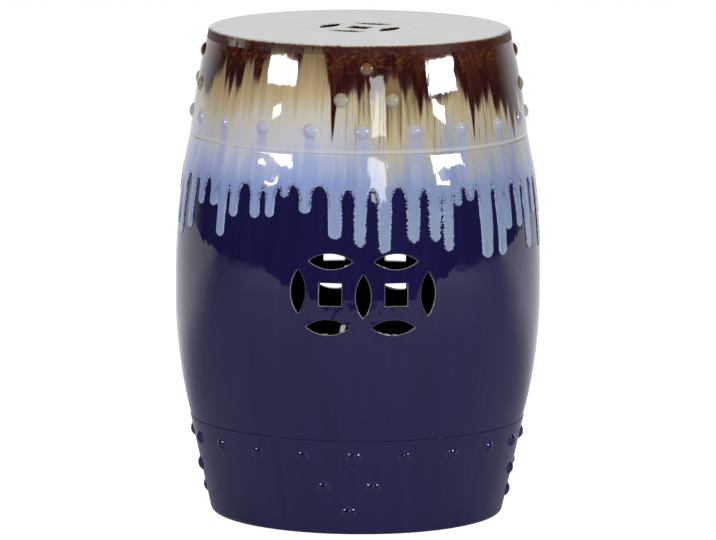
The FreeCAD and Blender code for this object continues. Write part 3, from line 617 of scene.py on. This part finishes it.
def makeRunGlaze():
    # opaque blue glaze, thick and speckled, with a pale rim where it thins out and small teeth on its sides
    material, tree = startMaterial("thickRunGlaze")
    at = unroll(tree)
    upper = flowingColour(tree, at)
    grain = streaks(tree, at["place"], *patterns["runGrain"])
    thread = streaks(tree, at["drum"], *patterns["runThread"])
    lower = addNode(tree, "Mix", thread, runColours["blue"], runColours["greyBlue"], data_type="RGBA")
    right = addNode(tree, "MapRange", at["angle"], -25, 15, 0.0, 0.85, interpolation_type="SMOOTHSTEP")
    lower = addNode(tree, "Mix", right, lower, runColours["slate"], data_type="RGBA")
    green = streaks(tree, at["drum"], *patterns["runGreen"])
    farDown = addNode(tree, "MapRange", at["height"], runBands["lowerStart"], runBands["greenFull"])
    green = addNode(tree, "Math", green, farDown, operation="MULTIPLY")
    lower = addNode(tree, "Mix", green, lower, runColours["green"], data_type="RGBA")
    grain = addNode(tree, "Math", grain, 0.25, operation="MULTIPLY")
    lower = addNode(tree, "Mix", grain, lower, runColours["grain"], data_type="RGBA")
    down = addNode(tree, "MapRange", at["height"], runBands["upperEnd"], runBands["lowerStart"],
                   interpolation_type="SMOOTHSTEP")
    colour = addNode(tree, "Mix", down, upper, lower, data_type="RGBA")
    inside = addNode(tree, "Attribute", attribute_name="toEdge", give=2)
    off = addNode(tree, "Math", at["angle"], runBands["toothMiddle"], operation="SUBTRACT")
    off = addNode(tree, "Math", off, operation="ABSOLUTE")
    reach = addNode(tree, "MapRange", off, runBands["toothFull"], runBands["toothEnd"], runBands["toothLong"],
                    runBands["toothShort"])
    tooth = streaks(tree, at["place"], *patterns["runTooth"])
    edge = addNode(tree, "Math", inside, addNode(tree, "Math", tooth, reach, operation="MULTIPLY"),
                   operation="SUBTRACT")
    rim = addNode(tree, "MapRange", edge, 1.3, 0.6, 0.0, 0.5, interpolation_type="SMOOTHSTEP")
    colour = addNode(tree, "Mix", rim, colour, runColours["rim"], data_type="RGBA")
    # flecks of the navy show through where the runs part
    fromBelow = addNode(tree, "MapRange", at["height"], runBands["fleckLow"], runBands["fleckLowFull"])
    fromAbove = addNode(tree, "MapRange", at["height"], runBands["fleckHigh"], runBands["fleckHighFull"])
    parting = addNode(tree, "Math", fromBelow, fromAbove, operation="MULTIPLY")
    fleck = streaks(tree, at["place"], *patterns["runFleck"])
    fleck = addNode(tree, "Math", fleck, parting, operation="MULTIPLY")
    fleck = addNode(tree, "Math", fleck, addNode(tree, "MapRange", inside, 4.2, 1.4), operation="MULTIPLY")
    bare = addNode(tree, "Math", addNode(tree, "MapRange", edge, 0.35, 0.0), fleck, operation="MAXIMUM")
    colour = addNode(tree, "Mix", bare, colour, cobalt["deep"], data_type="RGBA")
    finishGlaze(tree, at, colour, 0.05, 1.3)
    return material


glazes = {
    "seat_slab": makeSeatGlaze(),
    "top_collar": makeFlowingGlaze(),
    "belly_wall": makeBellyGlaze(),
    "base_collar": makeBaseGlaze(),
}
studGlaze = makeStudGlaze()
baseStudGlaze = makeBaseStudGlaze()
for side in ("front", "right", "back", "left"):
    glazes[f"top_{side}_studs"] = studGlaze
    glazes[f"base_{side}_studs"] = baseStudGlaze
for name, glaze in glazes.items():
    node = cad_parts[name]
    node.data.materials.clear()
    node.data.materials.append(glaze)

print("run glaze")
coat = makeRunCoat()
coat.data.materials.append(makeRunGlaze())

print("studio")
# White paper under the stool ends a step in front of it. Past it the room is dark, and the upper part of the
# glaze mirrors that.
studio = {
    "floorFront": -1.5,
    "floorBack": 3.0,
    "floorSide": 3.3,
    "floorGlow": 0.9,
    "floorColour": "#BCBCD4",
    "litPaper": "#D8D8D8",
    "darkRoom": "#232326",
    "brightBackdrop": "#F3F3F5",
    "white": "#FFFFFF",
}


def makeFloor():
    mesh = bpy.data.meshes.new("paperFloor")
    bm = bmesh.new()
    bmesh.ops.create_grid(bm, x_segments=1, y_segments=1, size=1.0)
    depth = studio["floorBack"] - studio["floorFront"]
    bmesh.ops.scale(bm, vec=(studio["floorSide"], depth / 2, 1), verts=bm.verts)
    bmesh.ops.translate(bm, vec=(0, (studio["floorBack"] + studio["floorFront"]) / 2, 0), verts=bm.verts)
    bm.to_mesh(mesh)
    bm.free()
    floor = bpy.data.objects.new("paperFloor", mesh)
    bpy.context.collection.objects.link(floor)
    # the paper glows a little for the camera, so that it photographs white but for the shadow at the foot
    material, tree = startMaterial("whitePaper")
    path = addNode(tree, "LightPath").node.outputs
    glow = addNode(tree, "Emission", studio["white"], studio["floorGlow"])
    lit = addNode(tree, "AddShader", addNode(tree, "BsdfDiffuse", studio["litPaper"]), glow)
    # in the glaze it shows darker, and bright again only far behind the stool
    depth = addNode(tree, "SeparateXYZ", addNode(tree, "TexCoord", give=3), give=1)
    far = addNode(tree, "MapRange", depth, 0.15, 0.9, 0.0, 0.75, interpolation_type="SMOOTHSTEP")
    dim = addNode(tree, "AddShader", addNode(tree, "BsdfDiffuse", studio["floorColour"]),
                  addNode(tree, "Emission", studio["white"], far))
    addNode(tree, "OutputMaterial", addNode(tree, "MixShader", path["Is Camera Ray"], dim, lit))
    mesh.materials.append(material)


def makeWorld():
    world = bpy.data.worlds.new("studio")
    bpy.context.scene.world = world
    world.use_nodes = True
    tree = world.node_tree
    tree.nodes.clear()
    depth = addNode(tree, "SeparateXYZ", addNode(tree, "TexCoord"), give=1)
    behind = addNode(tree, "MapRange", depth, 0.45, 0.85, interpolation_type="SMOOTHSTEP")
    up = addNode(tree, "SeparateXYZ", addNode(tree, "TexCoord"), give=2)
    behind = addNode(tree, "Math", behind, addNode(tree, "MapRange", up, 0.28, 0.12), operation="MULTIPLY")
    shade = addNode(tree, "Mix", behind, studio["darkRoom"], studio["brightBackdrop"], data_type="RGBA")
    path = addNode(tree, "LightPath").node.outputs
    colour = addNode(tree, "Mix", path["Is Camera Ray"], shade, studio["white"], data_type="RGBA")
    addNode(tree, "OutputWorld", addNode(tree, "Background", colour, 1.0))


lamps = {  # degrees round from the front and up from the stool's upper part; distance and size in metres
    "rightBox": {"round": 61.8, "up": 13.0, "away": 3.0,
        "width": 1.18, "height": 0.27, "roll": -4, "radiance": 32.0},
    "rightShard": {"round": 56.5, "up": 8.2, "away": 3.0,
        "width": 0.45, "height": 0.13, "roll": -16, "radiance": 28.0},
    "leftBox": {"round": -57.2, "up": 14.2, "away": 3.0,
        "width": 1.2, "height": 0.21, "roll": 5, "radiance": 32.0},
    "leftShard": {"round": -58.0, "up": 7.9, "away": 3.0,
        "width": 0.36, "height": 0.1, "roll": 14, "radiance": 28.0},
    "frontStrip": {"round": 13.0, "up": 11.3, "away": 5.0,
        "width": 0.85, "height": 0.92, "roll": 0, "radiance": 9.0},
    "fill": {"round": 0.0, "up": 25.0, "away": 4.0,
        "width": 3.0, "height": 2.0, "roll": 0, "radiance": 3.9},
    "overhead": {"round": 0.0, "up": 80.0, "away": 2.4,
        "width": 2.4, "height": 2.4, "roll": 0, "radiance": 1.45},
}
aimHeight = 0.40


def makeLamp(name):
    lamp = lamps[name]
    turn = math.radians(lamp["round"])
    rise = math.radians(lamp["up"])
    away = Vector((math.sin(turn) * math.cos(rise), -math.cos(turn) * math.cos(rise), math.sin(rise)))
    light = bpy.data.lights.new(name, "AREA")
    light.shape = "RECTANGLE"
    light.size = lamp["width"]
    light.size_y = lamp["height"]
    light.energy = lamp["radiance"] * math.pi * lamp["width"] * lamp["height"]
    thing = bpy.data.objects.new(name, light)
    thing.location = Vector((0, 0, aimHeight)) + away * lamp["away"]
    look = away.to_track_quat("Z", "Y").to_matrix() @ Matrix.Rotation(math.radians(lamp["roll"]), 3, "Z")
    thing.rotation_euler = look.to_euler()
    # the glaze mirrors only the lamps round the sides
    thing.visible_glossy = name not in ("fill", "overhead")
    bpy.context.collection.objects.link(thing)


makeFloor()
makeWorld()
for lampName in lamps:
    makeLamp(lampName)

# The camera stands where the photograph's did, worked out from the ellipses of the seat and the foot.
view = {"away": 7.0, "height": 1.3035, "down": 8.74, "roll": 0.374, "lens": 379.3}


def makeCamera():
    data = bpy.data.cameras.new("studioCamera")
    data.lens = view["lens"]
    camera = bpy.data.objects.new("studioCamera", data)
    tilt = Matrix.Rotation(math.radians(90 - view["down"]), 4, "X")
    roll = Matrix.Rotation(math.radians(view["roll"]), 4, "Z")
    camera.matrix_world = Matrix.Translation((0, -view["away"], view["height"])) @ tilt @ roll
    bpy.context.collection.objects.link(camera)
    bpy.context.scene.camera = camera


makeCamera()
bpy.context.scene.view_settings.view_transform = "Standard"
